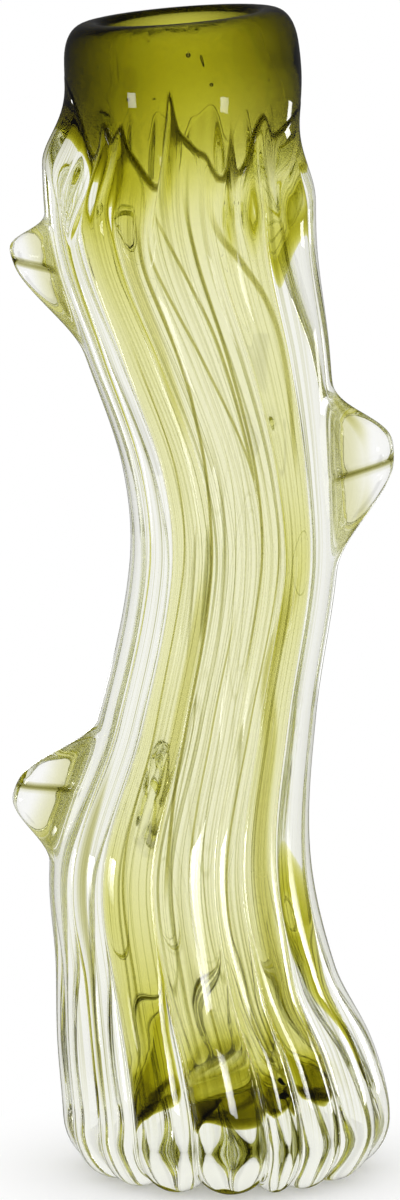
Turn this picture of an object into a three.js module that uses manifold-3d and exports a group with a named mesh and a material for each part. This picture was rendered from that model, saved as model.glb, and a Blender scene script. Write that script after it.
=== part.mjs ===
// A tall cased-glass vase shaped like a leaning tree trunk. Millimetres, +Z up, origin at the centre of the
// ground foot, front of the vase towards -Y.
// An olive green vessel with a thick fire-polished rim is cased in clear glass with deep vertical ribs, and three
// bits of clear glass are drawn out of the sides as branch knots. In the real vase these pieces are fused hot;
// here each is its own solid, a small clearance apart.
import * as THREE from "three";
import { mergeVertices } from "three/addons/utils/BufferGeometryUtils.js";
import Module from "manifold-3d";

const wasm = await Module();
wasm.setup();

// Clearance between solids that touch in the real glass.
const FUSE_GAP = 0.3;

// Stations up the trunk. lean is the clear casing's offset along X and crest its radius over the ribs; coreLean
// and core are the offset and radius of the green vessel inside it, and ribs is the depth from crest to valley.
// The outlines are smooth curves through them.
const STATIONS = [
  { height: 0, lean: 0.2, crest: 48.5, ribs: 8, coreLean: 4, core: 22.5 },
  { height: 20, lean: -0.1, crest: 49.6, ribs: 8, coreLean: 3.2, core: 23 },
  { height: 40, lean: -3.6, crest: 47.6, ribs: 7.5, coreLean: 0.4, core: 22.5 },
  { height: 62, lean: -9.2, crest: 42.3, ribs: 7, coreLean: -5, core: 21.5 },
  { height: 98, lean: -13.6, crest: 39, ribs: 6.5, coreLean: -9, core: 19.5 },
  { height: 140, lean: -5.5, crest: 32.7, ribs: 5.5, coreLean: -2.6, core: 16.5 },
  { height: 185, lean: 2.2, crest: 31.2, ribs: 5, coreLean: 2.6, core: 15.5 },
  { height: 215, lean: 0.9, crest: 32, ribs: 5.5, coreLean: 1.6, core: 16 },
  { height: 250, lean: -5.9, crest: 36.8, ribs: 6.5, coreLean: -5.6, core: 18.5 },
  { height: 280, lean: -12.6, crest: 39.8, ribs: 8, coreLean: -12, core: 24 },
  { height: 306, lean: -14.2, crest: 40.6, ribs: 7, coreLean: -12, core: 31.5 },
  { height: 328, lean: -14.2, crest: 39.2, ribs: 3, coreLean: -12.6, core: 35 },
  { height: 350, lean: -14, crest: 38, ribs: 2, coreLean: -14.2, core: 34.2 },
];

// The rim, which tilts up to the right, and the rounding of its outer and inner edges.
const RIM_HEIGHT = 350;
const RIM_TILT = 4.8; // degrees
const TILT_START = 285; // height where the tilt begins
const RIM_OUTER_ROUND = { across: 7, up: 11 };
const RIM_INNER_ROUND = { across: 4, up: 6 };

// The green vessel's wall: thick in the neck, thin in the trunk, thicker again at the bottom.
const NECK_WALL = 12.5;
const TRUNK_WALL = 2.2;
const FLOOR_THICKNESS = 4;
const NECK_WALL_START = 270; // height where the wall begins to thicken upwards
const NECK_WALL_FULL = 338; // height where it has its full neck thickness
const CORE_BOTTOM = 18; // clear glass under the green vessel
const CORE_ROUND = 8; // rounding of the vessel's bottom edge

// The clear casing: its rib ends curl under at the foot, and its upper edge drapes round the neck in waves,
// highest on the left and lower at the front and the back.
const FOOT_INSET = 13;
const FOOT_ROUND = 15;
const EDGE_HEIGHT = 328; // mean height of the casing's upper edge at the two sides
const EDGE_SIDE_RISE = 7; // left side up, right side down
const EDGE_DIP = 18; // how much lower it hangs at the front and the back
const EDGE_WAVES = 9;
const EDGE_WAVE_HEIGHT = 2.5;
const EDGE_LIP = 1.4; // thickness of the casing at that edge
const EDGE_FADE = 26; // length over which the casing thickens below the edge

// The ribs, from a valley at the front left going round to the right: angle that each spans and its share of the
// depth. Angles are measured from the front, positive to the right.
const FIRST_VALLEY = -12;
const RIBS = [
  { span: 28, depth: 0.9 },
  { span: 13, depth: 0.55 },
  { span: 19, depth: 0.8 },
  { span: 26, depth: 1 },
  { span: 32, depth: 1.25 },
  { span: 24, depth: 1 },
  { span: 22, depth: 0.9 },
  { span: 26, depth: 1 },
  { span: 24, depth: 0.9 },
  { span: 22, depth: 0.9 },
  { span: 25, depth: 1 },
  { span: 34, depth: 1.3 },
  { span: 21, depth: 1.1 },
  { span: 19, depth: 0.9 },
  { span: 25, depth: 0.9 },
];
const RIB_TWIST = 22; // degrees by which the ribs turn to the left in the upper half
const TWIST_FROM = 185; // height where that turn begins
const TWIST_TO = 320; // height where it is complete
const RIB_TOP = 322; // mean height where the ribs run out into the neck
const RIB_TOP_SCATTER = 8; // how far single ribs end above or below that
const RIB_FADE = 30; // length over which a rib comes up to its depth

// The branch knots. reach is how far a tip stands out of the rib crests, up and down are the lengths of the web
// drawn out above and below it, spread is half the web's width and rise the tip's height above its root.
const KNOTS = [
  { name: "knot_upper_left", angle: -90, height: 278, reach: 12.8, up: 20, down: 34, spread: 20, rise: 2.5, tip: 5.4 },
  { name: "knot_right", angle: 88, height: 216.5, reach: 17.6, up: 32, down: 40, spread: 20, rise: 2, tip: 4.6 },
  { name: "knot_lower_left", angle: -90, height: 116, reach: 14.6, up: 30, down: 34, spread: 20, rise: 0.5, tip: 5.6 },
];
const WEB_SHARE = 0.5; // the part of the reach that the casing's web makes; the knot makes the rest
const WEB_CURVE = 1.4; // how hollow the web's flanks are
const ROOT_SHARE = 0.75; // a knot's root against the top of its web
const KNOT_SINK = 8; // length of a knot inside the web before it is cut to seat on it

// How finely the solids are faceted.
const STEPS_PER_RIB = 4;
const TRUNK_LEVELS = 33;
const CORE_LEVELS = 15;
const EDGE_LEVELS = 8;
const CORE_STEPS = 36;
const ROUND_STEPS = 4;
const KNOT_STEPS = 14;
const KNOT_RINGS = 5;

const CLEAR = { color: 0xf3f4ec, roughness: 0.04, metalness: 0 };
const GREEN = { color: 0x9a9a1e, roughness: 0.04, metalness: 0 };

const radians = THREE.MathUtils.degToRad;
const { clamp, lerp, euclideanModulo, smoothstep } = THREE.MathUtils;

// A smooth curve through the stations' values of one kind, as a function of height.
function through(key) {
  const last = STATIONS.length - 1;
  const slope = (i) => {
    const before = STATIONS[Math.max(i - 1, 0)];
    const after = STATIONS[Math.min(i + 1, last)];
    return (after[key] - before[key]) / (after.height - before.height);
  };
  return (height) => {
    const h = clamp(height, STATIONS[0].height, STATIONS[last].height);
    let i = 0;
    while (i < last - 1 && h > STATIONS[i + 1].height) i += 1;
    const [low, high] = [STATIONS[i], STATIONS[i + 1]];
    const length = high.height - low.height;
    const t = (h - low.height) / length;
    const t2 = t * t;
    const t3 = t2 * t;
    return (
      low[key] * (2 * t3 - 3 * t2 + 1) +
      high[key] * (3 * t2 - 2 * t3) +
      slope(i) * length * (t3 - 2 * t2 + t) +
      slope(i + 1) * length * (t3 - t2)
    );
  };
}
const lean = through("lean");
const crest = through("crest");
const ribs = through("ribs");
const coreLean = through("coreLean");
const core = through("core");

// A function that places points at an angle, height and radius round a leaning axis, with the neck's tilt.
const placer = (axis) => (angle, height, radius) => {
  const side = radius * Math.sin(radians(angle));
  const tilt = Math.tan(radians(RIM_TILT)) * smoothstep(height, TILT_START, RIM_HEIGHT);
  return new THREE.Vector3(axis(height) + side, -radius * Math.cos(radians(angle)), height + side * tilt);
};
const onCasing = placer(lean);
const onCore = placer(coreLean);

// Each rib's starting angle, and the angles round the trunk at which the casing is sampled.
const VALLEYS = RIBS.map((_, i) => FIRST_VALLEY + RIBS.slice(0, i).reduce((sum, rib) => sum + rib.span, 0));
const RIB_ANGLES = RIBS.flatMap((rib, i) =>
  Array.from({ length: STEPS_PER_RIB }, (_, k) => VALLEYS[i] + (rib.span * k) / STEPS_PER_RIB),
);
const CORE_ANGLES = Array.from({ length: CORE_STEPS }, (_, k) => (360 * k) / CORE_STEPS);
const twist = (height) => -RIB_TWIST * smoothstep(height, TWIST_FROM, TWIST_TO);

// How far the surface lies under the crests at an angle of the untwisted ribs: rounded lobes, sharp valleys.
function ribDip(ribAngle, height) {
  const turned = euclideanModulo(ribAngle - FIRST_VALLEY, 360) + FIRST_VALLEY;
  let i = RIBS.length - 1;
  while (VALLEYS[i] > turned) i -= 1;
  const across = (turned - VALLEYS[i]) / RIBS[i].span;
  const lobe = Math.sqrt(Math.sin(Math.PI * across));
  const top = RIB_TOP + RIB_TOP_SCATTER * Math.sin(2.4 * i);
  const depth = ribs(height) * RIBS[i].depth * smoothstep(top - height, 0, RIB_FADE);
  return depth * (1 - lobe);
}

// How far a knot's web stands out of the crests: a peak with hollow flanks, cut off where the knot seats on it.
function webHeight(angle, height) {
  return Math.max(
    ...KNOTS.map((knot) => {
      const around = radians(euclideanModulo(angle - knot.angle + 180, 360) - 180) * crest(knot.height);
      const along = (height - knot.height) / (height > knot.height ? knot.up : knot.down);
      const away = Math.hypot(around / knot.spread, along);
      return away < 1 ? knot.reach * Math.min((1 - away) ** WEB_CURVE, WEB_SHARE) : 0;
    }),
  );
}

function edgeHeight(angle) {
  const side = -EDGE_SIDE_RISE * Math.sin(radians(angle));
  const dip = EDGE_DIP * Math.cos(radians(angle)) ** 2;
  return EDGE_HEIGHT + side - dip + EDGE_WAVE_HEIGHT * Math.cos(EDGE_WAVES * radians(angle));
}

// The green vessel's outside, rounded at its bottom edge.
function coreRadius(height) {
  const up = clamp((height - CORE_BOTTOM) / CORE_ROUND, 0, 1);
  return core(height) - CORE_ROUND * (1 - Math.sqrt(1 - (1 - up) ** 2));
}

// The cavity inside the green vessel.
const cavityRadius = (height) =>
  core(height) - lerp(TRUNK_WALL, NECK_WALL, smoothstep(height, NECK_WALL_START, NECK_WALL_FULL));

// The casing's outside: ribs and webs, curled under at the foot and thinning to a lip at its upper edge.
// It is measured from the casing's axis as far as the neck, and from the vessel's axis at the edge.
function casingPoint(ribAngle, height, grow) {
  const angle = ribAngle + twist(height);
  const curl = height < FOOT_ROUND ? 1 - Math.sqrt(1 - (1 - height / FOOT_ROUND) ** 2) : 0;
  const radius = crest(height) - ribDip(ribAngle, height) + webHeight(angle, height) - FOOT_INSET * curl;
  const full = onCasing(angle, height, radius + grow);
  const lip = onCore(angle, height, core(height) + FUSE_GAP + EDGE_LIP + grow);
  const share = Math.sin((Math.PI / 2) * clamp((edgeHeight(angle) - height) / EDGE_FADE, 0, 1));
  return lip.lerp(full, share);
}

// A closed skin over rings of points, ending in a single point at each end. All rings have as many points.
function skin(first, rings, last) {
  const count = rings[0].length;
  const points = [first, ...rings.flat(), last];
  const triangles = [];
  const at = (ring, k) => 1 + ring * count + (k % count);
  for (let k = 0; k < count; k += 1) {
    triangles.push(0, at(0, k + 1), at(0, k));
    for (let ring = 0; ring < rings.length - 1; ring += 1) {
      triangles.push(at(ring, k), at(ring, k + 1), at(ring + 1, k));
      triangles.push(at(ring, k + 1), at(ring + 1, k + 1), at(ring + 1, k));
    }
    triangles.push(at(rings.length - 1, k), at(rings.length - 1, k + 1), points.length - 1);
  }
  const geometry = new THREE.BufferGeometry().setFromPoints(points);
  geometry.setIndex(triangles);
  geometry.computeVertexNormals();
  return geometry;
}

// Even steps from one value to another, both included.
const steps = (from, to, count) => Array.from({ length: count }, (_, i) => from + ((to - from) * i) / (count - 1));
// Steps of a quarter turn that leave out both ends.
const quarter = steps(0, Math.PI / 2, ROUND_STEPS + 2).slice(1, -1);

// Levels shared by the vessel and the casing's socket round it, so that their facets lie alongside each other.
const NECK_BOTTOM = NECK_WALL_START;
const coreLevels = [
  ...quarter.map((t) => CORE_BOTTOM + CORE_ROUND * (1 - Math.cos(t))),
  ...steps(CORE_BOTTOM + CORE_ROUND, NECK_BOTTOM, CORE_LEVELS),
];
const trunkLevels = [
  0,
  ...quarter.map((t) => FOOT_ROUND * (1 - Math.cos(t))),
  ...steps(FOOT_ROUND, NECK_BOTTOM, TRUNK_LEVELS),
];
// Above them the casing's rings rise in equal shares to its upper edge, wherever that is.
const edgeShares = steps(0, 1, EDGE_LEVELS + 1).slice(1);
const edgeLevel = (angle, share) => lerp(NECK_BOTTOM, edgeHeight(angle + twist(EDGE_HEIGHT)), share);

function casingGeometry(grow = 0) {
  const outside = (heightAt) => RIB_ANGLES.map((angle) => casingPoint(angle, heightAt(angle), grow));
  const socket = (heightAt) =>
    RIB_ANGLES.map((angle) => {
      const height = heightAt(angle);
      return onCore(angle + twist(height), height, coreRadius(height) + FUSE_GAP);
    });
  const socketFloor = CORE_BOTTOM - FUSE_GAP;
  const floorRing = RIB_ANGLES.map((angle) => onCore(angle, socketFloor, coreRadius(CORE_BOTTOM)));
  return skin(
    onCasing(0, 0, 0),
    [
      ...trunkLevels.map((height) => outside(() => height)),
      ...edgeShares.map((share) => outside((angle) => edgeLevel(angle, share))),
      ...edgeShares.toReversed().map((share) => socket((angle) => edgeLevel(angle, share))),
      ...coreLevels.toReversed().map((height) => socket(() => height)),
      floorRing,
    ],
    onCore(0, socketFloor, 0),
  );
}

function vesselGeometry() {
  const ring = (height, radius) => CORE_ANGLES.map((angle) => onCore(angle, height, radius));
  const shoulder = RIM_HEIGHT - RIM_OUTER_ROUND.up;
  const throat = RIM_HEIGHT - RIM_INNER_ROUND.up;
  const floor = CORE_BOTTOM + FLOOR_THICKNESS;
  const floorRound = CORE_ROUND - TRUNK_WALL;
  const neckLevels = steps(NECK_BOTTOM, shoulder, EDGE_LEVELS + 1).slice(1);
  const outerRound = [...quarter, Math.PI / 2].map((t) => {
    const height = shoulder + RIM_OUTER_ROUND.up * Math.sin(t);
    return ring(height, core(height) - RIM_OUTER_ROUND.across * (1 - Math.cos(t)));
  });
  const innerRound = [Math.PI / 2, ...quarter.toReversed()].map((t) => {
    const height = throat + RIM_INNER_ROUND.up * Math.sin(t);
    return ring(height, cavityRadius(height) + RIM_INNER_ROUND.across * (1 - Math.cos(t)));
  });
  const cavityLevels = [
    ...steps(floor + floorRound, NECK_BOTTOM, CORE_LEVELS),
    ...steps(NECK_BOTTOM, throat, EDGE_LEVELS).slice(1),
  ];
  const floorCurve = quarter.map((t) => {
    const height = floor + floorRound * (1 - Math.sin(t));
    return ring(height, cavityRadius(height) - floorRound * (1 - Math.cos(t)));
  });
  return skin(
    onCore(0, CORE_BOTTOM, 0),
    [
      ring(CORE_BOTTOM, coreRadius(CORE_BOTTOM)),
      ...[...coreLevels, ...neckLevels].map((height) => ring(height, coreRadius(height))),
      ...outerRound,
      ...innerRound,
      ...cavityLevels.toReversed().map((height) => ring(height, cavityRadius(height))),
      ...floorCurve,
      ring(floor, cavityRadius(floor) - floorRound),
    ],
    onCore(0, floor, 0),
  );
}

// A closed geometry as a manifold-3d solid, and back.
function solid(geometry) {
  const bare = geometry.clone();
  bare.deleteAttribute("normal");
  const merged = mergeVertices(bare, 1e-3);
  return new wasm.Manifold(
    new wasm.Mesh({
      numProp: 3,
      vertProperties: merged.attributes.position.array,
      triVerts: new Uint32Array(merged.index.array),
    }),
  );
}
function geometryOf(manifold) {
  const mesh = manifold.getMesh();
  const geometry = new THREE.BufferGeometry();
  geometry.setAttribute("position", new THREE.BufferAttribute(mesh.vertProperties, 3));
  geometry.setIndex(new THREE.BufferAttribute(mesh.triVerts, 1));
  geometry.computeVertexNormals();
  return geometry;
}

// A knot: a stub with a tall oval root that narrows to a blunt round tip, cut to seat on its web.
function knotGeometry(knot) {
  const out = onCasing(knot.angle, knot.height, 1).sub(onCasing(knot.angle, knot.height, 0));
  const up = new THREE.Vector3(0, 0, 1);
  const across = up.clone().cross(out);
  const webTop = crest(knot.height) + knot.reach * WEB_SHARE;
  const length = knot.reach * (1 - WEB_SHARE);
  const root = ROOT_SHARE * (1 - WEB_SHARE ** (1 / WEB_CURVE));
  const ring = (distance, narrowing, scale) => {
    const half = { up: knot.up * root, down: knot.down * root, across: knot.spread * root };
    const extent = (side) => scale * lerp(Math.max(half[side], knot.tip), knot.tip, narrowing);
    const middle = onCasing(knot.angle, knot.height, webTop + distance);
    middle.addScaledVector(up, knot.rise * clamp(distance / length, 0, 1));
    return Array.from({ length: KNOT_STEPS }, (_, k) => {
      const turn = (2 * Math.PI * k) / KNOT_STEPS;
      const height = Math.sin(turn) * extent(Math.sin(turn) > 0 ? "up" : "down");
      return middle
        .clone()
        .addScaledVector(across, Math.cos(turn) * extent("across"))
        .addScaledVector(up, height);
    });
  };
  const stem = length - knot.tip;
  const stemRings = steps(0, 1, KNOT_RINGS).map((share) => ring(share * stem, share, 1));
  const tipRings = quarter.map((t) => ring(stem + knot.tip * Math.sin(t), 1, Math.cos(t)));
  const start = onCasing(knot.angle, knot.height, webTop - KNOT_SINK);
  const end = onCasing(knot.angle, knot.height, webTop + length).addScaledVector(up, knot.rise);
  const stub = skin(start, [ring(-KNOT_SINK, 0, 1), ...stemRings, ...tipRings], end);
  return geometryOf(solid(stub).subtract(solid(casingGeometry(FUSE_GAP))));
}

const vase = new THREE.Group();
function add(name, geometry, look) {
  const mesh = new THREE.Mesh(geometry, new THREE.MeshStandardMaterial(look));
  mesh.name = name;
  vase.add(mesh);
}
add("green_vessel", vesselGeometry(), GREEN);
add("clear_casing", casingGeometry(), CLEAR);
KNOTS.forEach((knot) => add(knot.name, knotGeometry(knot), CLEAR));

export default vase;
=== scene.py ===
# The looks of a tall cased-glass vase shaped like a leaning tree trunk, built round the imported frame.
# Lengths are in millimetres, as in the solids, up to the point where a mesh is made; Blender's are metres.
# Angles are in degrees, and those round the vase start from the front and rise to the right.
# The vase is one closed skin of glass, with the green glass as coloured volumes just inside that skin.
import math

import bmesh
import bpy
import numpy as np
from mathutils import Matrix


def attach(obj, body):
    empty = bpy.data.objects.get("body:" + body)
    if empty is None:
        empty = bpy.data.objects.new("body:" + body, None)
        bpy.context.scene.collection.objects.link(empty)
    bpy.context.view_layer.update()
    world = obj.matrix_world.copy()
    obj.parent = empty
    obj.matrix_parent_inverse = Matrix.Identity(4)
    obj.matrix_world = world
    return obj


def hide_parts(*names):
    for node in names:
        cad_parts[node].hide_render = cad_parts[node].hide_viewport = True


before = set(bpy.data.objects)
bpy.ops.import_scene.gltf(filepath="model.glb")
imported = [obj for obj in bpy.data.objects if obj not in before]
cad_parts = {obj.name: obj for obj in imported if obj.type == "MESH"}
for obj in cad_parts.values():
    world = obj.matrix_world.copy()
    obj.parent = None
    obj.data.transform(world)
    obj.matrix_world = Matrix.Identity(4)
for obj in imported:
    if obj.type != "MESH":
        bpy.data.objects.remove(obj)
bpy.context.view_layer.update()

MM = 0.001

# Stations up the trunk: height, lean and crest radius of the casing, depth of its ribs, lean and radius of
# the green vessel. The outlines are smooth curves through them.
STATIONS = np.array([
    (0, 0.2, 48.5, 5.5, 4, 22.5),
    (20, -0.1, 49.6, 5.5, 3.2, 23),
    (40, -3.6, 47.6, 6, 0.4, 22.5),
    (62, -9.2, 42.3, 6.5, -5, 21.5),
    (98, -13.6, 39, 6.5, -9, 19.5),
    (140, -5.5, 32.7, 5.5, -2.6, 16.5),
    (185, 2.2, 31.2, 5, 2.6, 15.5),
    (215, 0.9, 32, 5.5, 1.6, 16),
    (250, -5.9, 36.8, 6.5, -5.6, 18.5),
    (280, -12.6, 39.8, 8, -12, 24),
    (306, -14.2, 40.6, 7, -12, 31.5),
    (328, -14.2, 39.2, 3, -12.6, 35),
    (350, -14, 38, 2, -14.2, 34.2),
])

# The rim, which tilts up to the right, and the rounding of its outer and inner edges.
RIM_HEIGHT = 350
RIM_TILT = 4.8
TILT_START = 285
RIM_OUTER_ROUND = (8, 12)  # across, up
RIM_INNER_ROUND = (4, 6)
RIM_OUTER_ROWS = 13
RIM_INNER_ROWS = 6
RIM_SOFTNESS = 0.77  # 1 rounds the outer edge as a plain ellipse, less starts and ends it more softly
SHOULDER = RIM_HEIGHT - RIM_OUTER_ROUND[1]
THROAT = RIM_HEIGHT - RIM_INNER_ROUND[1]
ROUND_ROWS = 9  # rows over each of the other rounded edges

# Stations up the green vessel: height, outer radius of its coloured glass, thickness of that glass.
VESSEL = np.array([
    (18, 23.7, 2.9),
    (40, 23, 2.7),
    (62, 21.1, 1.8),
    (98, 18.35, 1.05),
    (140, 15.35, 1.05),
    (185, 14.35, 1.05),
    (215, 14.85, 1.05),
    (250, 17.35, 1.1),
    (266, 19.2, 1.2),
    (281, 21.8, 1.6),
    (296, 25.8, 2.9),
    (304, 27.8, 4.1),
    (312, 30.6, 5.8),
    (320, 33, 7.3),
    (328, 34.9, 8.7),
    (339, 34.8, 11.2),
    (350, 34.2, 12.5),
])
CORE_BOTTOM = 18
CORE_ROUND = 8
CORE_STEP = 3  # between rows up its outside
GREEN_COLUMNS = 160
GREEN_INSET = 0.12  # how far the coloured volume stays inside the skin

FLOOR_THICKNESS = 6
CAVITY_FLOOR = CORE_BOTTOM + FLOOR_THICKNESS
CAVITY_ROUND = 16
CAVITY_STEP = 3.5  # between rows down its wall
CAVITY_COLUMNS = 180
CAVITY_SHIFT = 2.5  # how far the cavity lies to the right inside the neck
SHIFT_COMES = (285, 305)
SHIFT_GOES = (332, 349)

# The lower edge of the green glass: angle and height of each of its lobes and notches.
SCALLOPS = (
    (-180, 17), (-155, 23), (-128, 16.5), (-98, 24), (-72, 20), (-46, 15.5), (-22, 23.5), (-4, 16.5),
    (19, 21), (27, 18.5), (34, 26), (66, 20), (92, 23), (118, 16.5), (148, 22.5), (180, 17),
)
SCALLOP_REACH = 14  # height over which the scallops fade out

# The darkest green glass, along that edge.
HEEL_RISE = 8
HEEL_LIFT = 0.1  # how far it lies above the edge
HEEL_FLOOR = 1.2  # its thickness in the middle
HEEL_HOLLOW = 6  # how fast its top falls away from the rise towards the middle
HEEL_ROWS_UP = (0, 0.02, 0.08, 0.18, 0.32, 0.5, 0.75, 1)  # shares of the rise
HEEL_ROWS_IN = (0.95, 0.88, 0.8, 0.7, 0.5, 0.25)  # shares of its radius

# The casing's foot.
FOOT_INSET = 13
FOOT_ROUND = 15
FOOT_LIFT = 3.5  # how far the valleys between the ribs rise off the ground

# The ribs, from a valley at the front left going round to the right: the angle that each spans, its share of
# the depth, and its columns of points.
FIRST_VALLEY = -12
RIBS = (
    (28, 0.9, 20),
    (13, 0.55, 14),
    (19, 0.8, 18),
    (26, 1, 22),
    (32, 1.25, 46),
    (24, 1, 22),
    (22, 0.9, 20),
    (26, 1, 20),
    (24, 0.9, 20),
    (22, 0.9, 20),
    (25, 1, 24),
    (34, 1.3, 46),
    (21, 1.1, 34),
    (19, 0.9, 18),
    (25, 0.9, 20),
)
RIB_FULLNESS = 0.6  # 1 makes a rib a plain sine across, less makes it fuller and its valleys narrower
RIB_TWIST = 22
TWIST_FROM = 185
TWIST_TO = 320
RIB_TOP = 322
RIB_TOP_SCATTER = 8
SCATTER_STEP = 2.4  # radians of the wave along which the tops are scattered, from one rib to the next
RIB_FADE = 30
RIB_CALM = 0.22  # share of the depth that the ribs keep above the foot, at the front and the back
RIB_CALM_SIDE = 0.06  # and at the sides
CALM_COMES = (30, 85)

# Rows up the casing: the height from which they stand this far apart, then the same in shares of the way to
# its draped edge, and from there to the shoulder of the rim.
TRUNK_ROWS = ((FOOT_ROUND, 2), (92, 0.9), (140, 1.6), (182, 1.1), (297, 1))
EDGE_ROWS = ((0, 0.05), (0.8, 0.025), (0.9, 0.0125), (1, 1))
NECK_ROWS = ((0, 0.02), (0.08, 0.08), (1, 1))

# The casing's upper edge: angle and height of each finger's tip and of each dip between two.
DRAPE = (
    (-180, 318), (-168, 309), (-156, 321), (-146, 312), (-134, 324), (-121, 318), (-103, 331),
    (-85, 335), (-70, 330), (-62, 322), (-56, 311), (-49, 315), (-43, 322), (-39.5, 317), (-36, 319),
    (-32.5, 321), (-30.5, 315), (-25.7, 310), (-20.7, 305), (-17, 302.8), (-14, 304.5), (-12.3, 309),
    (-11, 315), (-9, 322), (-6.4, 331), (-4.6, 324), (-2.5, 319), (2, 316), (6, 313.5), (10, 312),
    (13.5, 308.5), (17, 305.5), (20, 305), (22, 309), (23.8, 318), (25.6, 311), (28.5, 306.5), (31.5, 308),
    (34, 312), (36.5, 318), (42, 322), (50, 316), (60, 318),
    (80, 322), (100, 323), (113, 314), (124, 322), (136, 308), (147, 320), (159, 311), (170, 323),
    (180, 318),
)
DRAPE_MIDDLE = 316
DRAPE_LIP = 2.1  # thickness of the bead along that edge at the front
DRAPE_LIP_SIDE = 0.1  # at the sides
DRAPE_LIP_BACK = 0.7  # and at the back
DRAPE_BEAD = 1.8  # length over which the bead comes up to it
DRAPE_FADE = 26  # length over which the casing thickens below the edge

# The branch knots: angle, height, reach, length of the web above and below, half width, rise of the tip,
# and how far below its middle it is pinched.
KNOTS = (
    (-90, 275.5, 12.9, 18, 31, 14, 3, 1),
    (88, 213.5, 17.2, 31, 34, 14, 6, 2),
    (-90, 116.5, 16.4, 24, 26, 14, 1, -1),
)
KNOT_STUB = 0.6  # share of the reach that is a blunt stub; the rest is a slimmer web
STUB_FALLS = (0.1, 0.85)  # shares of the web's length between which the stub falls away
KNOT_FLATNESS = 0.85  # how steep a knot's two faces are
KNOT_CALM = 0.5  # share of a knot's reach at which the ribs are gone
PINCH_DEPTH = 1.3
PINCH_WIDTH = 1.6

# Small bubbles in the neck: angle, height, depth under the surface, radius.
SEEDS = (
    (4, 341, 3.5, 0.75), (-47, 338.5, 3, 0.55), (-30, 329, 4, 0.6), (15, 332, 4, 0.6), (31, 296, 3, 0.55),
    (118, 333, 4, 0.7), (171, 338, 3.5, 0.6), (207, 328, 4, 0.7), (250, 336, 3, 0.6),
)
SEED_COLUMNS = 12
SEED_ROWS = 8

# Where the skin is drawn on: heights for the lines on the trunk and in the cavity and for the neck's painted
# shade, then shares of a knot's reach for the end of the lines, the tint of its root and its fold's painted
# shade.
LINES_COME = (12, 45)
LINES_GO = (2, 20)  # distances below the draped edge, up which they go
CAVITY_LINES_COME = (22, 40)
CAVITY_LINES_GO = (190, 240)
NECK_COMES = (300, 325)
KNOT_LINES_GO = (0, 0.4)
ROOT_COMES = (0.02, 0.1)
ROOT_GOES = (0.25, 0.7)
FOLD_COMES = (0.04, 0.2)
FOLD_WIDTH = 0.75
ABOVE_EDGE = -50  # distance below the draped edge that stands for all points far above it
GRAIN_LENGTH = 160  # height over which the grain changes

# Streaks in the glass: how fine their noise is round the trunk and along it, its shift, and the value and
# width at which the noise draws a line. A line is broken off by a second, broader noise. Their dark olive
# colour is partly the streaks' own and partly painted shade, for the light that they bend.
BOLD_LINES = (13, 0.1, 0, 0.5, 0.035)
BOLD_BREAKS = (5, 1.6, 5, 0.56, 0.35)
BOLD_ABOVE = 0.7  # their strength in the upper part of the trunk
BOLD_CALMS = (0.62, 0.76)  # shares of the height between which they come down to it
FINE_LINES = (30, 0.15, 3, 0.5, 0.08)
FINE_STRENGTH = 0.3
CAVITY_LINES = (6, 0.05, 7, 0.5, 0.04)
CAVITY_BREAKS = (4, 1.5, 9, 0.56, 0.35)
CAVITY_BEHIND = 0.2  # their strength on the far wall
ROOT_STREAKS = (5, 2, 11, 0.45, 0.2)
ROOT_TINT = 0.45  # strength between those
SLANT_FADES = (0.2, 0.6)  # how far a wall is seen at a slant where the marks on it fade
EDGE_OUTLINE = (0.6, 1.5)  # middle and half width of the dark outline of painted shade below the draped edge

# Marks along the flow of the glass: half width, strength, and the path in heights and angles before the
# twist. The set repeats three times round the trunk. The dark lines are partly streaks in the glass and
# partly painted shade; the broad strips are painted reflections.
DARK_LINES = (
    (0.5, 0.85, ((86, -7), (104, -6.3), (130, -11), (160, -12.3), (199, -12.4), (231, -5.5), (246, -1.7),
                 (300, -2))),
    (0.8, 0.65, ((212, 40), (224, 41.3), (250, 44.7), (267, 43.5), (281, 36.4), (290, 30.9), (303, 28))),
    (0.4, 0.75, ((150, 15), (178, 14.6), (216, 17.6), (247, 19.9), (278, 21.4), (305, 19.4))),
    (0.4, 0.65, ((200, 17), (216, 16), (244, 10.7), (269, 6.4), (295, 2))),
    (0.3, 0.6, ((30, 3), (60, 5), (100, 4), (140, 2), (180, 3))),
    (0.3, 0.6, ((28, 22), (60, 20), (110, 21), (160, 23), (210, 26))),
    (0.35, 0.6, ((40, -24), (80, -25), (130, -28), (170, -30), (220, -26), (260, -24))),
    (0.4, 0.7, ((205, 16), (227, 16.6), (250, 18), (268, 17.4), (288, 12), (302, 5))),
    (0.5, 0.7, ((249, 60), (271, 56.3), (291, 54.6), (306, 48.4))),
    (0.9, 0.9, ((16, 74), (60, 73.4), (100, 71), (128, 68))),
    (2.2, 0.9, ((62, 70.5), (85, 71), (110, 70), (134, 66))),
)
STRIPS = (
    (2.6, 0.9, ((28, 51), (65, 38.8), (94, 38.6), (115, 37.2), (136, 35.6), (157, 29), (171, 31.6),
                (192, 38.4))),
    (1.8, 0.7, ((96, -12), (130, -16), (160, -17), (192, -17))),
    (2.0, 0.6, ((222, -15), (254, -9.4), (284, -5.6), (298, -4))),
)
MARKS_REPEAT = 120
MARKS_START = -45  # where the front set begins
MARK_RADIUS = 36  # at which a mark's width is taken
MARK_SOFTNESS = 0.5  # share of the half width over which a side fades inwards, and outwards
MARK_ENDS = 0.06  # share of the rim's height over which the ends fade

# Rates per millimetre at which each glass takes red, green and blue light away.
CLEAR_RATES = (0.0008, 0.0007, 0.0018)
GREEN_RATES = (0.05, 0.053, 0.24)
DARK_RATES = (0.2, 0.21, 0.6)
GLASS_IOR = 1.5
VOLUME_IOR = 1.0  # the coloured volumes lie inside the skin's glass and bend no light of their own
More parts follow.
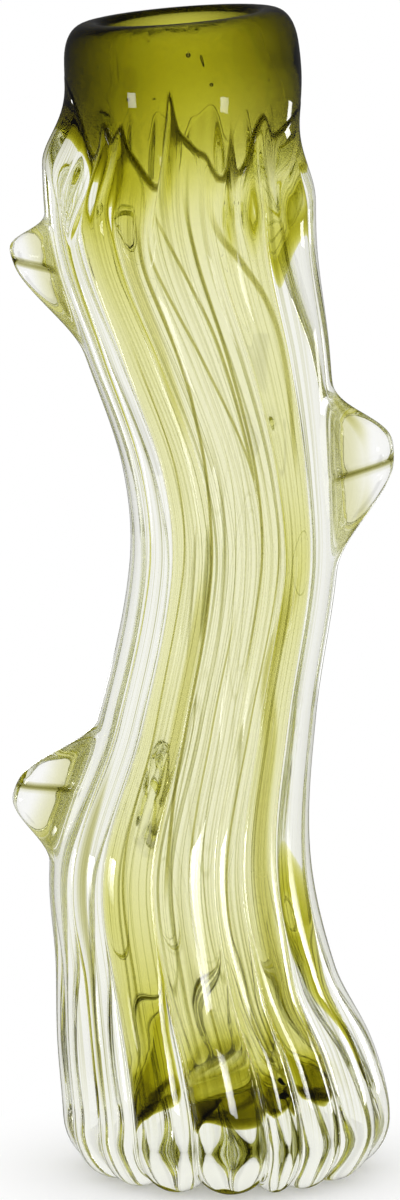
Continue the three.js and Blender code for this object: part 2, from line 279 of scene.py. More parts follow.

# Colours of the marks in the skin at full strength. The lines are partly their own colour and partly painted
# shade, the strips are painted reflections, the edge outline, the folds and the neck at a slant are painted
# shade, and the roots are tinted olive.
LINE_STAIN_AND_SHADE = (0.26, 0.26, 0.09)
STRIP_REFLECTION = (0.45, 0.43, 0.09)
DARK_STAIN_AND_SHADE = (0.16, 0.15, 0.015)
EDGE_SHADE = (0.05, 0.045, 0.003)
ROOT_TINT_COLOUR = (0.34, 0.32, 0.05)
FOLD_SHADE = (0.06, 0.055, 0.004)
NECK_SLANT_SHADE = (0.03, 0.028, 0.006)
NECK_STRENGTH = 1.05  # of the neck's painted shade where the wall is seen edge on
BASE_ROUGHNESS = 0.5  # of the ground face that it stands on

# The camera of the photograph: a long lens a little above the vase.
CAMERA_DISTANCE = 2500
CAMERA_ELEVATION = 9.5
CAMERA_LENS = 250
CAMERA_SENSOR = 36
AIM = (-7.8, 0, 174.2)

# The floor and the room.
FLOOR_SIZE = 12000
FLOOR_LEVEL = -0.3  # just clear of the foot
FLOOR_COLOUR = (0.93, 0.93, 0.93)
FLOOR_ROUGHNESS = 0.9
FLOOR_WHITE = 100  # distance from the middle at which it has turned into an evenly white ground
FLOOR_UNDER_GLASS = 0.9  # how far it is that white ground wherever it is seen through the glass
MIRROR_LOSS = 0.93  # share of the floor and the room that the glass doesn't mirror
ROOM_GAPS = 8  # waves round the room, with a darker gap between each two
GAP_ENDS = (-1, -0.6)  # heights on the wave between which a gap ends
GAP_LIGHT = 0.85
CEILING_RISES = (0.35, 0.8)  # heights on a round sky of radius 1 between which it turns into the ceiling
CEILING_LIGHT = 0.55

# Soft lights that only the glass mirrors: degrees from the front, distance, lowest and highest point and
# width in metres, how far they point up in degrees, brightness.
LIGHTS = (
    (15, 0.27, 0.02, 0.125, 0.075, -8, 24),
    (-25, 0.35, 0.07, 0.135, 0.05, 25, 6),
    (39, 0.6, 0.165, 0.232, 0.09, 12, 8),
)
LIGHT_SPREAD = 36


def clamp(value):
    return np.clip(value, 0, 1)


def smoothstep(value, start, end):
    t = clamp((value - start) / (end - start))
    return t * t * (3 - 2 * t)


def through(stations, column):
    """A smooth curve through one column of the stations, as a function of height."""
    heights = stations[:, 0]
    values = stations[:, column]
    last = len(heights) - 1
    after = np.minimum(np.arange(last + 1) + 1, last)
    before = np.maximum(np.arange(last + 1) - 1, 0)
    slopes = (values[after] - values[before]) / (heights[after] - heights[before])

    def curve(height):
        h = np.clip(height, heights[0], heights[-1])
        i = np.clip(np.searchsorted(heights, h, side="left") - 1, 0, last - 1)
        length = heights[i + 1] - heights[i]
        t = (h - heights[i]) / length
        return (
            values[i] * (2 * t**3 - 3 * t**2 + 1)
            + values[i + 1] * (3 * t**2 - 2 * t**3)
            + slopes[i] * length * (t**3 - 2 * t**2 + t)
            + slopes[i + 1] * length * (t**3 - t**2)
        )

    return curve


casing_lean, crest, rib_depth, core_lean, core = (through(STATIONS, column) for column in range(1, 6))
vessel_radius, vessel_wall = (through(VESSEL, column) for column in (1, 2))


def placed(axis, angle, height, radius):
    """Points at an angle, a height and a radius round a leaning axis, with the neck's tilt."""
    side = radius * np.sin(np.radians(angle))
    tilt = math.tan(math.radians(RIM_TILT)) * smoothstep(height, TILT_START, RIM_HEIGHT)
    depth = -radius * np.cos(np.radians(angle))
    return np.stack([axis(height) + side, depth, height + side * tilt], axis=-1)


def on_axis(axis, height):
    return placed(axis, np.array(0.0), np.array(float(height)), 0.0)


# Columns round the trunk: closer together towards the valleys between the ribs.
rib_spans, rib_shares, rib_columns = zip(*RIBS)
valleys = FIRST_VALLEY + np.cumsum((0,) + rib_spans[:-1])
steps_across = np.concatenate([np.arange(steps) / steps for steps in rib_columns])
column_across = (steps_across + (1 - np.cos(np.pi * steps_across)) / 2) / 2
column_rib = np.repeat(np.arange(len(RIBS)), rib_columns)
column_angle = valleys[column_rib] + np.array(rib_spans)[column_rib] * column_across
column_depth = np.array(rib_shares)[column_rib]
column_lobe = np.sin(np.pi * column_across) ** RIB_FULLNESS

# Columns round the cavity and round the green glass, all evenly spaced.
cavity_angle = column_angle[0] + np.arange(CAVITY_COLUMNS) * 360 / CAVITY_COLUMNS
green_angle = np.arange(GREEN_COLUMNS) * 360 / GREEN_COLUMNS


def turned(angle, height):
    """Angles at a height once the glass has been twisted, most at the front and the back."""
    return angle - RIB_TWIST * smoothstep(height, TWIST_FROM, TWIST_TO) * np.cos(np.radians(angle)) ** 2


def rib_dip(height):
    """How far the surface lies under the crests, for each column."""
    top = RIB_TOP + RIB_TOP_SCATTER * np.sin(SCATTER_STEP * column_rib)
    depth = rib_depth(height) * column_depth * smoothstep(top - height, 0, RIB_FADE)
    side = np.abs(np.sin(np.radians(column_angle))) ** 4
    calm = RIB_CALM + (RIB_CALM_SIDE - RIB_CALM) * side
    return depth * (1 - (1 - calm) * smoothstep(height, *CALM_COMES)) * (1 - column_lobe)


def wavy_edge(points, angle):
    """Height of an edge that runs smoothly through these points round the vase, and turns at them only."""
    around = (angle + 180) % 360 - 180
    angles, heights = np.array(points, dtype=float).T
    lengths = np.diff(angles)
    slopes = np.diff(heights) / lengths
    same_way = slopes[:-1] * slopes[1:] > 0
    both = np.where(same_way, slopes[:-1] + slopes[1:], 1)
    slant = np.concatenate([[0], np.where(same_way, 2 * slopes[:-1] * slopes[1:] / both, 0), [0]])
    i = np.clip(np.searchsorted(angles, around, side="right") - 1, 0, len(points) - 2)
    t = (around - angles[i]) / lengths[i]
    return (
        heights[i] * (2 * t**3 - 3 * t**2 + 1)
        + heights[i + 1] * (3 * t**2 - 2 * t**3)
        + slant[i] * lengths[i] * (t**3 - 2 * t**2 + t)
        + slant[i + 1] * lengths[i] * (t**3 - t**2)
    )


def edge_height(angle):
    """Height of the casing's upper edge."""
    return wavy_edge(DRAPE, angle)


def cavity_radius(height):
    return vessel_radius(height) - vessel_wall(height)


def cavity_lean(height):
    shift = CAVITY_SHIFT * smoothstep(height, *SHIFT_COMES)
    return core_lean(height) + shift * (1 - smoothstep(height, *SHIFT_GOES))


def green_radius(height):
    """The outside of the coloured glass: the skin in the neck, and close round the cavity in the trunk."""
    up = clamp((height - CORE_BOTTOM) / CORE_ROUND)
    rounded = vessel_radius(height) - CORE_ROUND * (1 - np.sqrt(1 - (1 - up) ** 2))
    return np.minimum(rounded, core(height) - GREEN_INSET)


def scalloped(height, share=1):
    """A height round the green glass, raised and lowered by this share of the scallops."""
    lift = wavy_edge(SCALLOPS, green_angle) - CORE_BOTTOM
    return height + lift * share * (1 - smoothstep(height, CORE_BOTTOM, CORE_BOTTOM + SCALLOP_REACH))


def knot_shapes(angle, height):
    """For each knot: the share of its full reach at these points, and how far it pushes them."""
    shapes = []
    for knot_angle, knot_height, reach, up, down, spread, rise, pinch in KNOTS:
        turn = math.radians(knot_angle)
        out = np.array([math.sin(turn), -math.cos(turn), 0])
        across = np.array([math.cos(turn), math.sin(turn), 0])
        around = np.radians((angle - knot_angle + 180) % 360 - 180) * crest(knot_height)
        along = height - knot_height
        away = clamp(np.abs(along) / np.where(along > 0, up, down))
        tall = KNOT_STUB * (1 - smoothstep(away, *STUB_FALLS)) + (1 - KNOT_STUB) * (1 - away**2) ** 3
        side = np.clip(around / spread, -1, 1)
        wide = (1 + np.cos(np.pi * side)) / 2
        slide = spread * KNOT_FLATNESS * np.sin(2 * np.pi * side) / (2 * np.pi)
        groove = PINCH_DEPTH * np.exp(-(((along + pinch) / PINCH_WIDTH) ** 2)) * np.sin(np.pi * side)
        push = (tall * wide)[:, None] * (reach * out + np.array([0, 0, rise]))
        shapes.append((tall * wide, push + (tall * (slide - groove))[:, None] * across))
    return shapes


def casing_ring(height):
    """The casing's points at a height, one a column: ribs, foot, knots and the edge draped on the neck."""
    height = np.broadcast_to(height, column_angle.shape).astype(float)
    angle = turned(column_angle, height)
    curl = 1 - np.sqrt(1 - (1 - clamp(height / FOOT_ROUND)) ** 2)
    shapes = knot_shapes(angle, height)
    calm = math.prod(1 - smoothstep(raised, 0, KNOT_CALM) for raised, _ in shapes)
    full = placed(casing_lean, angle, height, crest(height) - rib_dip(height) * calm - FOOT_INSET * curl)
    full[:, 2] += FOOT_LIFT * (1 - column_lobe) * (1 - clamp(height / FOOT_ROUND)) ** 2
    below = edge_height(angle) - height
    side = np.sin(np.radians(angle)) ** 2
    lip_along = np.where(np.cos(np.radians(angle)) > 0, DRAPE_LIP, DRAPE_LIP_BACK)
    thickness = lip_along + (DRAPE_LIP_SIDE - lip_along) * side
    bead = thickness * np.sqrt(1 - (1 - clamp(below / DRAPE_BEAD)) ** 2)
    lip = placed(core_lean, angle, height, core(height) + bead)
    share = np.sin(np.pi / 2 * clamp((below - DRAPE_BEAD) / DRAPE_FADE)) ** (1 + side)
    points = lip + (full - lip) * share[:, None]
    return points + sum(push for _, push in shapes)


def marked_shares(height):
    """How strongly a ring shows the fine lines, the tint of the knots' roots, and the painted shade of their
    folds.
    """
    height = np.broadcast_to(height, column_angle.shape).astype(float)
    angle = turned(column_angle, height)
    risen = [raised for raised, _ in knot_shapes(angle, height)]
    calm = math.prod(1 - smoothstep(raised, *KNOT_LINES_GO) for raised in risen)
    lines = smoothstep(height, *LINES_COME) * calm * smoothstep(edge_height(angle) - height, *LINES_GO)
    roots = sum(smoothstep(raised, *ROOT_COMES) * (1 - smoothstep(raised, *ROOT_GOES)) for raised in risen)
    folds = 0
    for raised, (_, knot_height, *_, pinch) in zip(risen, KNOTS):
        across = (height - knot_height + pinch) / FOLD_WIDTH
        folds = folds + smoothstep(raised, *FOLD_COMES) * np.exp(-(across**2))
    return lines, roots, folds


def quarter(count):
    """Angles of a quarter turn in even steps, without its ends."""
    return [math.pi / 2 * k / (count + 1) for k in range(1, count + 1)]


def spaced(stops):
    """Values from the first stop to the last, with the step given for each stretch."""
    values = [stops[0][0]]
    for (start, step), (end, _) in zip(stops, stops[1:]):
        count = max(1, round((end - start) / step))
        values += [start + (end - start) * k / count for k in range(1, count + 1)]
    return values


def smooth_mesh(name, points, faces):
    mesh = bpy.data.meshes.new(name)
    mesh.from_pydata((np.asarray(points) * MM).tolist(), [], faces)
    mesh.polygons.foreach_set("use_smooth", [True] * len(mesh.polygons))
    mesh.update()
    return mesh


def between_rings(lower, upper, lower_count, upper_count, lower_turns, upper_turns):
    """Faces between two rings that start at these points; the turns say how far round each column is."""
    if lower_count == upper_count:
        return [(lower + k, lower + (k + 1) % lower_count, upper + (k + 1) % upper_count, upper + k)
                for k in range(lower_count)]
    faces = []
    i = j = 0
    while i < lower_count or j < upper_count:
        if j == upper_count or (i < lower_count and lower_turns[i + 1] <= upper_turns[j + 1]):
            faces.append((lower + i, lower + (i + 1) % lower_count, upper + j % upper_count))
            i += 1
        else:
            faces.append((lower + i % lower_count, upper + (j + 1) % upper_count, upper + j))
            j += 1
    return faces


def closed_mesh(name, first, rings, last, turns=None):
    """A closed mesh over rings of points that ends in a single point at each end.

    The turns give each column's place round the ring, and are needed only where rings of two sizes meet."""
    points = np.concatenate([[first], *rings, [last]])
    starts = 1 + np.concatenate([[0], np.cumsum([len(ring) for ring in rings])])
    faces = [(0, 1 + (i + 1) % len(rings[0]), 1 + i) for i in range(len(rings[0]))]
    for k in range(len(rings) - 1):
        counts = (len(rings[k]), len(rings[k + 1]))
        places = [turns[count] if turns else None for count in counts]
        faces += between_rings(int(starts[k]), int(starts[k + 1]), *counts, *places)
    top = int(starts[-2])
    count = len(rings[-1])
    faces += [(top + i, top + (i + 1) % count, len(points) - 1) for i in range(count)]
    return smooth_mesh(name, points, faces)


def outside_rings():
    """Rings up the outside to the rim's shoulder, the casing's heights, and distances below its edge."""
    foot = [FOOT_ROUND * (1 - math.cos(t)) for t in quarter(ROUND_ROWS)]
    trunk = spaced(TRUNK_ROWS)
    start = trunk[-1]
    middle = turned(column_angle, DRAPE_MIDDLE)
    edge = edge_height(middle)
    casing = [0.0] + foot + trunk + [start + (edge - start) * share for share in spaced(EDGE_ROWS)[1:]]
    neck = [edge + (SHOULDER - edge) * share for share in spaced(NECK_ROWS)[1:]]
    rings = [casing_ring(height) for height in casing]
    rings += [placed(core_lean, turned(column_angle, height), height, core(height)) for height in neck]
    # Distances from the edge are taken across it, also where it runs steeply.
    rise = edge_height(middle + 0.5) - edge_height(middle - 0.5)
    steepness = rise / (math.radians(1) * crest(DRAPE_MIDDLE))
    square_on = 1 / np.sqrt(1 + steepness**2)
    below = [(edge - height) * square_on for height in casing + neck]
    return rings, casing, below


def rim_rings(inset, angle):
    """Rings over the rim, from its outer shoulder to the throat of the cavity."""
    across, up = RIM_OUTER_ROUND
    rings = []
    for t in quarter(RIM_OUTER_ROWS) + [math.pi / 2]:
        height = SHOULDER + up * math.sin(t) ** RIM_SOFTNESS
        drop = inset * math.sin(t)
        radius = core(height) - across * (1 - abs(math.cos(t)) ** RIM_SOFTNESS) - inset * math.cos(t)
        rings.append(placed(core_lean, angle, np.full(angle.shape, height - drop), radius))
    across, up = RIM_INNER_ROUND
    for t in [math.pi / 2] + quarter(RIM_INNER_ROWS)[::-1]:
        height = THROAT + up * math.sin(t)
        drop = inset * math.sin(t)
        radius = cavity_radius(height) + across * (1 - math.cos(t)) + inset * math.cos(t)
        rings.append(placed(cavity_lean, angle, np.full(angle.shape, height - drop), radius))
    return rings


def cavity_rings(inset, angle):
    """Rings down the wall of the cavity and round its floor."""
    rings = []
    for height in spaced([(CAVITY_FLOOR + CAVITY_ROUND, CAVITY_STEP), (THROAT, 1)])[::-1]:
        level = np.full(angle.shape, float(height))
        rings.append(placed(cavity_lean, turned(angle, height), level, cavity_radius(height) + inset))
    for t in quarter(ROUND_ROWS) + [math.pi / 2]:
        height = CAVITY_FLOOR + CAVITY_ROUND * (1 - math.sin(t))
        radius = cavity_radius(height) - CAVITY_ROUND * (1 - math.cos(t)) + inset * math.cos(t)
        rings.append(placed(core_lean, angle, np.full(angle.shape, height - inset), radius))
    return rings


def add_seeds(mesh):
    """Small bubbles: closed shells inside the glass that face inwards."""
    work = bmesh.new()
    work.from_mesh(mesh)
    turn = np.radians(np.arange(SEED_COLUMNS) * 360 / SEED_COLUMNS)
    circle = np.stack([np.cos(turn), np.sin(turn), np.zeros(SEED_COLUMNS)], axis=-1)
    for angle, height, depth, radius in SEEDS:
        height = np.array(float(height))
        centre = placed(core_lean, np.array(float(angle)), height, core(height) - depth)
        pole = np.array([0, 0, radius])
        # The rings come from the top down, which turns the faces inwards.
        falls = [math.pi * k / SEED_ROWS for k in range(1, SEED_ROWS)]
        rings = [centre + pole * math.cos(fall) + circle * radius * math.sin(fall) for fall in falls]
        shell = closed_mesh("seed", centre + pole, rings, centre - pole)
        work.from_mesh(shell)
        bpy.data.meshes.remove(shell)
    work.to_mesh(mesh)
    work.free()


def set_point_values(mesh, name, values):
    """Store a number or a vector with each point of the mesh."""
    values = np.asarray(values, dtype=float)
    kind, field = ("FLOAT", "value") if values.ndim == 1 else ("FLOAT_VECTOR", "vector")
    mesh.attributes.new(name, kind, "POINT").data.foreach_set(field, values.ravel())


def add_marks(mesh, rings, outside, casing, below):
    """Store with each point of the skin its place in the flow of the glass and what is drawn there."""
    # The grain follows the twist of the ribs.
    heights = np.concatenate([[0.0], *[ring[:, 2] for ring in rings], [0.0]])
    angles = [column_angle] * outside + [cavity_angle] * (len(rings) - outside)
    turn = np.radians(np.concatenate([[0.0], *angles, [0.0]]))
    set_point_values(mesh, "grain", np.stack([np.cos(turn), np.sin(turn), heights / GRAIN_LENGTH], axis=-1))
    point = np.arange(len(heights))
    inside = point > outside * len(column_angle)
    lined = inside * smoothstep(heights, *CAVITY_LINES_COME) * (1 - smoothstep(heights, *CAVITY_LINES_GO))
    set_point_values(mesh, "lined", lined)
    set_point_values(mesh, "neck", ~inside * smoothstep(heights, *NECK_COMES))
    set_point_values(mesh, "base", point <= len(column_angle))
    lines, roots, folds = zip(*[marked_shares(height) for height in casing])
    known_rows = (
        ("streaked", lines, 0),
        ("rooted", roots, 0),
        ("folded", folds, 0),
        ("below_edge", below, ABOVE_EDGE),
    )
    for name, rows, rest in known_rows:
        known = np.concatenate([np.broadcast_to(row, column_angle.shape) for row in rows])
        values = np.full(len(heights), float(rest))
        values[1:1 + len(known)] = known
        set_point_values(mesh, name, values)


def glass_skin():
    """The outside, the rim and the cavity of the whole vase in one closed mesh."""
    rings, casing, below = outside_rings()
    rings += rim_rings(0, turned(column_angle, RIM_HEIGHT))
    outside = len(rings)
    rings += cavity_rings(0, cavity_angle)
    turns = {len(angles): np.append(angles, angles[0] + 360) for angles in (column_angle, cavity_angle)}
    first = on_axis(casing_lean, 0)
    last = on_axis(core_lean, CAVITY_FLOOR)
    mesh = closed_mesh("clear_glass_skin", first, rings, last, turns)
    add_marks(mesh, rings, outside, casing, below)
    add_seeds(mesh)
    return mesh


def green_volume():
    """The green glass: a closed mesh just inside the skin in the neck and the cavity."""
    round_top = CORE_BOTTOM + CORE_ROUND
    outer = [CORE_BOTTOM + CORE_ROUND * (1 - math.cos(t)) for t in [0.0] + quarter(ROUND_ROWS)]
    outer += spaced([(round_top, CORE_STEP), (SHOULDER, 1)])
    rings = [placed(core_lean, green_angle, scalloped(height), green_radius(height)) for height in outer]
    rings += rim_rings(GREEN_INSET, green_angle)
    rings += cavity_rings(GREEN_INSET, green_angle)
    first = on_axis(core_lean, CORE_BOTTOM)
    last = on_axis(core_lean, CAVITY_FLOOR - GREEN_INSET)
    return closed_mesh("green_glass_core", first, rings, last)


def heel_volume():
    """The darkest green glass, along the scalloped lower edge: a bowl that thins out upwards."""
    rings = []
    for share in HEEL_ROWS_UP:
        height = CORE_BOTTOM + HEEL_LIFT + HEEL_RISE * share
        rings.append(placed(core_lean, green_angle, scalloped(height), green_radius(height) - GREEN_INSET))
    for share in HEEL_ROWS_IN:
        height = CORE_BOTTOM + HEEL_FLOOR + (HEEL_RISE - HEEL_FLOOR) * share**HEEL_HOLLOW
        radius = green_radius(CORE_BOTTOM + HEEL_RISE) * share
        rings.append(placed(core_lean, green_angle, scalloped(height, share), radius))
    first = on_axis(core_lean, CORE_BOTTOM + HEEL_LIFT)
    last = on_axis(core_lean, CORE_BOTTOM + HEEL_FLOOR)
    return closed_mesh("green_glass_heel", first, rings, last)


class Nodes:
    """The nodes of a material or of the world, with short ways to add and join them."""

    def __init__(self, tree):
        self.tree = tree

    def feed(self, node, inputs):
        """Set a node's inputs, each to a number, a colour or another node's output."""
        for name, value in inputs.items():
            if isinstance(value, bpy.types.NodeSocket):
                self.tree.links.new(value, node.inputs[name])
            else:
                node.inputs[name].default_value = value

    def add(self, kind, inputs=None, **settings):
        node = self.tree.nodes.new("ShaderNode" + kind)
        for name, value in settings.items():
            setattr(node, name, value)
        self.feed(node, inputs or {})
        return node

    def attribute(self, name):
        return self.add("Attribute", attribute_name=name)

    def maths(self, operation, *values):
        return self.add("Math", dict(enumerate(values)), operation=operation).outputs["Value"]

    def ramp(self, value, start, end, first, last):
        """The first number up to the start, the last from the end, and a smooth way between them."""
        inputs = {"Value": value, "From Min": start, "From Max": end, "To Min": first, "To Max": last}
        return self.add("MapRange", inputs, interpolation_type="SMOOTHSTEP").outputs["Result"]

    def fade(self, value, start, end):
        return self.ramp(value, start, end, 1, 0)

    def contour(self, value, middle, width):
        """1 where the value is the middle one, down to 0 at this distance from it."""
        return self.fade(self.maths("ABSOLUTE", self.maths("SUBTRACT", value, middle)), 0, width)


class SkinNodes(Nodes):
    """Nodes that draw along the flow of the glass, from the values stored in the skin's mesh."""

    def __init__(self, tree):
        super().__init__(tree)
        self.grain = self.attribute("grain").outputs["Vector"]
        split = self.add("SeparateXYZ", {0: self.grain})
        turn = self.maths("ARCTAN2", split.outputs["Y"], split.outputs["X"])
        turn = self.maths("MULTIPLY", turn, 180 / math.pi)
        self.turn = self.maths("WRAP", turn, MARKS_START + MARKS_REPEAT, MARKS_START)
        self.level = self.maths("MULTIPLY", split.outputs["Z"], GRAIN_LENGTH / RIM_HEIGHT)

    def streaks(self, around, along, shift, middle, width):
        """Lines where a noise on a loop round the trunk passes its middle value."""
        mapping = {"Vector": self.grain, "Location": (shift, 0, 0), "Scale": (around, around, along)}
        loop = self.add("Mapping", mapping)
        noise = self.add("TexNoise", {"Vector": loop.outputs["Vector"], "Scale": 1, "Detail": 0})
        return self.contour(noise.outputs["Fac"], middle, width)

    def mark(self, half_width, strength, path):
        """A mark of this half width along a path, gone at both ends."""
        curve = self.add("FloatCurve", {"Value": self.level})
        points = curve.mapping.curves[0].points
        places = [(height / RIM_HEIGHT, angle / 360 + 0.5) for height, angle in path]
        points[0].location = places[0]
        points[-1].location = places[-1]
        for place in places[1:-1]:
            points.new(*place)
        curve.mapping.update()
        middle = self.maths("MULTIPLY", self.maths("SUBTRACT", curve.outputs["Value"], 0.5), 360)
        away = self.maths("ABSOLUTE", self.maths("SUBTRACT", self.turn, middle))
        wide = math.degrees(half_width / MARK_RADIUS)
        across = self.fade(away, wide * (1 - MARK_SOFTNESS), wide * (1 + MARK_SOFTNESS))
        low = places[0][0]
        high = places[-1][0]
        from_low = self.fade(self.level, low, low + MARK_ENDS)
        ends = self.maths("SUBTRACT", self.fade(self.level, high - MARK_ENDS, high), from_low)
        return self.maths("MULTIPLY", self.maths("MULTIPLY", across, ends), strength)

    def marks(self, rows):
        """All of these marks, each where it is the strongest."""
        total = self.mark(*rows[0])
        for row in rows[1:]:
            total = self.maths("MAXIMUM", total, self.mark(*row))
        return total

    def stained_or_shaded(self, under, strength, stain):
        """The colour under it seen through a stain or a painted shade, whose hue stays the same at any
        strength.
        """
        power = self.add("Gamma", {"Color": (*stain, 1), "Gamma": strength}).outputs["Color"]
        if under is None:
            return power
        inputs = {"Factor": 1, "A": under, "B": power}
        return self.add("Mix", inputs, data_type="RGBA", blend_type="MULTIPLY").outputs["Result"]


def new_material(name):
    material = bpy.data.materials.new(name)
    material.use_nodes = True
    return material, material.node_tree


def absorbing_glass(name, rates, ior):
    """Clear glass that takes light away inside it, at a rate for each colour."""
    material, tree = new_material(name)
    nodes = Nodes(tree)
    glass = {"Base Color": (1, 1, 1, 1), "Roughness": 0, "IOR": ior, "Transmission Weight": 1}
    nodes.feed(tree.nodes["Principled BSDF"], glass)
    peak = max(rates) * 1.0001  # a little over the largest rate, so that no part of the tint is quite 0
    tint = tuple(1 - rate / peak for rate in rates)
    volume = nodes.add("VolumeAbsorption", {"Color": (*tint, 1), "Density": peak / MM})
    nodes.feed(tree.nodes["Material Output"], {"Volume": volume.outputs["Volume"]})
    return material


def add_lines(material):
    """Olive lines along the flow of the glass, their colour partly painted shade; painted reflections as
    strips;
    painted shade as dark outlines, in the knots' folds and on the neck at a slant; and the tint of the
    knots' roots.
    """
    tree = material.node_tree
    nodes = SkinNodes(tree)
    maths = nodes.maths
    names = ("lined", "streaked", "neck", "below_edge", "base", "rooted", "folded")
    stored = [nodes.attribute(name).outputs["Fac"] for name in names]
    lined, streaked, neck, below_edge, base, rooted, folded = stored
    leaving = nodes.add("NewGeometry").outputs["Backfacing"]
    entering = maths("SUBTRACT", 1, leaving)
    facing = nodes.add("LayerWeight", {"Blend": 0.5}).outputs["Facing"]

    # On the near side of the trunk's outside, gone towards its edges.
    outside = maths("MULTIPLY", maths("MULTIPLY", streaked, entering), nodes.fade(facing, *SLANT_FADES))
    bold = maths("MULTIPLY", nodes.streaks(*BOLD_LINES), nodes.streaks(*BOLD_BREAKS))
    below = maths("MULTIPLY", nodes.fade(nodes.level, *BOLD_CALMS), 1 - BOLD_ABOVE)
    bold = maths("MULTIPLY", bold, maths("ADD", below, BOLD_ABOVE))
    fine = maths("MULTIPLY", nodes.streaks(*FINE_LINES), FINE_STRENGTH)
    near = maths("MULTIPLY", maths("MAXIMUM", bold, fine), outside)

    # In the cavity, mostly on its near wall.
    inside = maths("ADD", maths("MULTIPLY", leaving, 1 - CAVITY_BEHIND), CAVITY_BEHIND)
    inside = maths("MULTIPLY", lined, inside)
    deep = maths("MULTIPLY", nodes.streaks(*CAVITY_LINES), nodes.streaks(*CAVITY_BREAKS))
    inner = maths("MULTIPLY", deep, inside)

    # The olive lines are streaks in the glass; their dark colour is partly painted shade, for the light they
    # bend.
    tint = nodes.stained_or_shaded(None, maths("MAXIMUM", near, inner), LINE_STAIN_AND_SHADE)
    # Painted reflections: broad olive strips, for the darker reflections seen in the glass.
    tint = nodes.stained_or_shaded(tint, maths("MULTIPLY", nodes.marks(STRIPS), outside), STRIP_REFLECTION)
    # Dark marks along the flow: streaks in the glass, their dark colour partly painted shade.
    tint = nodes.stained_or_shaded(tint, maths("MULTIPLY", nodes.marks(DARK_LINES), outside), DARK_STAIN_AND_SHADE)
    # Painted shade: the draped edge is outlined in dark green, for the dark line that its bead makes by
    # bending light.
    outline = nodes.contour(below_edge, *EDGE_OUTLINE)
    tint = nodes.stained_or_shaded(tint, maths("MULTIPLY", outline, entering), EDGE_SHADE)
    # The knots' roots are tinted olive, with streaks. Their folds get painted shade, dark green along each
    # crease.
    drawn = maths("MULTIPLY", rooted, maths("MAXIMUM", nodes.streaks(*ROOT_STREAKS), ROOT_TINT))
    tint = nodes.stained_or_shaded(tint, maths("MULTIPLY", drawn, entering), ROOT_TINT_COLOUR)
    tint = nodes.stained_or_shaded(tint, maths("MULTIPLY", folded, entering), FOLD_SHADE)
    # Painted shade: the neck is darkened where its wall is seen at a slant, for the dark edges of its thick
    # glass.
    slanted = maths("MULTIPLY", facing, NECK_STRENGTH)
    tint = nodes.stained_or_shaded(tint, maths("MULTIPLY", slanted, neck), NECK_SLANT_SHADE)
    ground = maths("MULTIPLY", base, BASE_ROUGHNESS)
    nodes.feed(tree.nodes["Principled BSDF"], {"Base Color": tint, "Roughness": ground})


def add_piece(mesh, material, slot, *nodes):
    piece = bpy.data.objects.new(mesh.name, mesh)
    bpy.context.collection.objects.link(piece)
    mesh.materials.append(material)
    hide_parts(*nodes)
    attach(piece, "root")


def add_camera():
    data = bpy.data.cameras.new("camera")
    data.sensor_width = CAMERA_SENSOR
    data.lens = CAMERA_LENS
    camera = bpy.data.objects.new("camera", data)
    bpy.context.collection.objects.link(camera)
    tilt = math.radians(CAMERA_ELEVATION)
    camera.location = (
        AIM[0] * MM,
        (AIM[1] - CAMERA_DISTANCE * math.cos(tilt)) * MM,
        (AIM[2] + CAMERA_DISTANCE * math.sin(tilt)) * MM,
    )
    camera.rotation_euler = (math.pi / 2 - tilt, 0, 0)
    bpy.context.scene.camera = camera


def ray_kinds(nodes):
    """1 for rays straight from the camera, for all that come from glass, and for those that it mirrors."""
    path = nodes.add("LightPath")
    through_glass = path.outputs["Is Transmission Ray"]
    from_glass = nodes.maths("MAXIMUM", path.outputs["Is Glossy Ray"], through_glass)
    return path.outputs["Is Camera Ray"], from_glass, nodes.maths("SUBTRACT", from_glass, through_glass)


def add_floor():
    """A pale floor that keeps the vase's shadow close to it, and is evenly white away from it."""
    mesh = bpy.data.meshes.new("floor")
    size = FLOOR_SIZE * MM
    level = FLOOR_LEVEL * MM
    corners = [(-size, -size, level), (size, -size, level), (size, size, level), (-size, size, level)]
    mesh.from_pydata(corners, [], [(0, 1, 2, 3)])
    floor = bpy.data.objects.new("floor", mesh)
    bpy.context.collection.objects.link(floor)
    material, tree = new_material("floor")
    nodes = Nodes(tree)
    pale = tree.nodes["Principled BSDF"]
    matt = {"Base Color": (*FLOOR_COLOUR, 1), "Roughness": FLOOR_ROUGHNESS, "Specular IOR Level": 0}
    nodes.feed(pale, matt)
    place = nodes.add("TexCoord").outputs["Object"]
    away = nodes.add("VectorMath", {0: place}, operation="LENGTH").outputs["Value"]
    far = nodes.ramp(away, 0, FLOOR_WHITE * MM, 0, 1)
    # It is also nearly white through the glass, which mirrors it only faintly.
    _, from_glass, mirrored = ray_kinds(nodes)
    through_glass = nodes.maths("SUBTRACT", from_glass, mirrored)
    even = nodes.maths("MAXIMUM", far, nodes.maths("MULTIPLY", through_glass, FLOOR_UNDER_GLASS))
    white = nodes.add("Emission", {"Color": (1, 1, 1, 1), "Strength": 1})
    ground = nodes.add("MixShader", {"Fac": even, 1: pale.outputs["BSDF"], 2: white.outputs["Emission"]})
    black = nodes.add("Emission", {"Color": (0, 0, 0, 1)})
    lost = nodes.maths("MULTIPLY", mirrored, MIRROR_LOSS)
    faint = nodes.add("MixShader", {"Fac": lost, 1: ground.outputs["Shader"], 2: black.outputs["Emission"]})
    nodes.feed(tree.nodes["Material Output"], {"Surface": faint.outputs["Shader"]})
    mesh.materials.append(material)


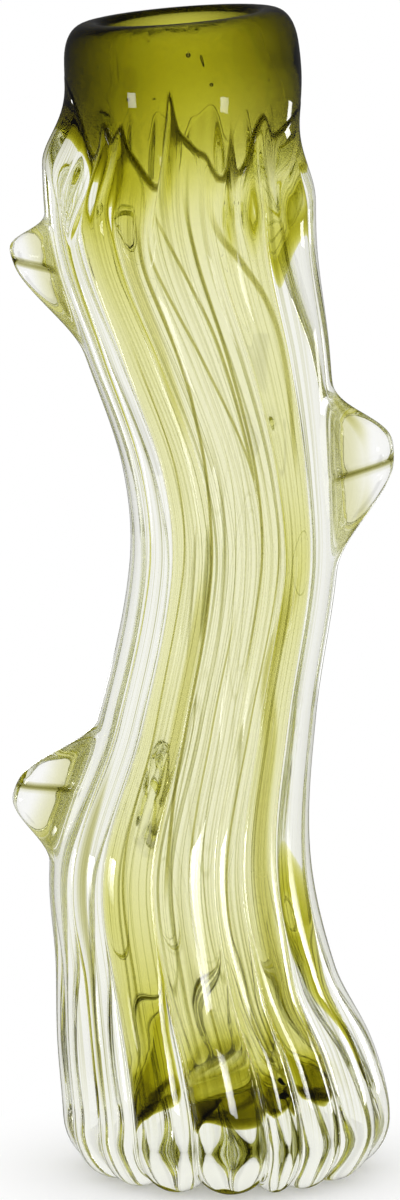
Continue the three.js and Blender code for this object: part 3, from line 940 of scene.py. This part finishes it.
def add_world():
    """White all round for the camera; for glass, the same with soft darker gaps and a darker ceiling."""
    world = bpy.data.worlds.new("studio")
    bpy.context.scene.world = world
    world.use_nodes = True
    tree = world.node_tree
    nodes = Nodes(tree)
    maths = nodes.maths
    split = nodes.add("SeparateXYZ", {0: nodes.add("TexCoord").outputs["Generated"]})
    around = maths("ARCTAN2", split.outputs["X"], split.outputs["Y"])
    wave = maths("COSINE", maths("MULTIPLY", around, ROOM_GAPS))  # 1 at every 45 degrees, -1 between them
    gaps = nodes.ramp(wave, *GAP_ENDS, GAP_LIGHT, 1)
    ceiling = nodes.ramp(split.outputs["Z"], *CEILING_RISES, 1, CEILING_LIGHT)
    camera_ray, from_glass, mirrored = ray_kinds(nodes)
    kept = maths("SUBTRACT", 1, maths("MULTIPLY", mirrored, MIRROR_LOSS))
    glass_light = maths("MULTIPLY", maths("MULTIPLY", gaps, ceiling), kept)
    room = maths("ADD", maths("MULTIPLY", from_glass, glass_light), maths("SUBTRACT", 1, from_glass))
    strength = maths("ADD", camera_ray, maths("MULTIPLY", maths("SUBTRACT", 1, camera_ray), room))
    nodes.feed(tree.nodes["Background"], {"Color": (1, 1, 1, 1), "Strength": strength})


def add_lights():
    """The same few lights on each of the four sides, for highlights on the glass from every view."""
    half = math.radians(LIGHT_SPREAD / 2)
    narrowed = math.tan(half) - half  # keeps a light as bright from in front at any spread
    for k in range(4):
        for i, (degrees, distance, low, high, width, up, brightness) in enumerate(LIGHTS):
            turn = math.radians(90 * k + degrees)
            data = bpy.data.lights.new(f"light_{k}_{i}", "AREA")
            data.shape = "RECTANGLE"
            data.size = width
            data.size_y = high - low
            data.spread = 2 * half
            data.energy = brightness * math.pi * width * (high - low) * narrowed / math.tan(half)
            light = bpy.data.objects.new(data.name, data)
            bpy.context.collection.objects.link(light)
            light.location = (distance * math.sin(turn), -distance * math.cos(turn), (low + high) / 2)
            light.rotation_euler = (math.pi / 2 + math.radians(up), 0, turn)
            light.visible_camera = False
            light.visible_diffuse = False
            light.visible_transmission = False


clear_glass = absorbing_glass("clear_glass", CLEAR_RATES, GLASS_IOR)
add_lines(clear_glass)
green_glass = absorbing_glass("green_glass", GREEN_RATES, VOLUME_IOR)
dark_glass = absorbing_glass("dark_green_glass", DARK_RATES, VOLUME_IOR)

add_piece(glass_skin(), clear_glass, "clear_glass", "clear_casing", "knot_upper_left", "knot_right",
          "knot_lower_left")
add_piece(green_volume(), green_glass, "green_glass", "green_vessel")
add_piece(heel_volume(), dark_glass, "green_glass", "green_vessel")

add_camera()
add_floor()
add_world()
add_lights()

scene = bpy.context.scene
scene.view_settings.view_transform = "Standard"
scene.cycles.max_bounces = 32
scene.cycles.transmission_bounces = 32
scene.cycles.glossy_bounces = 16
scene.cycles.transparent_max_bounces = 64
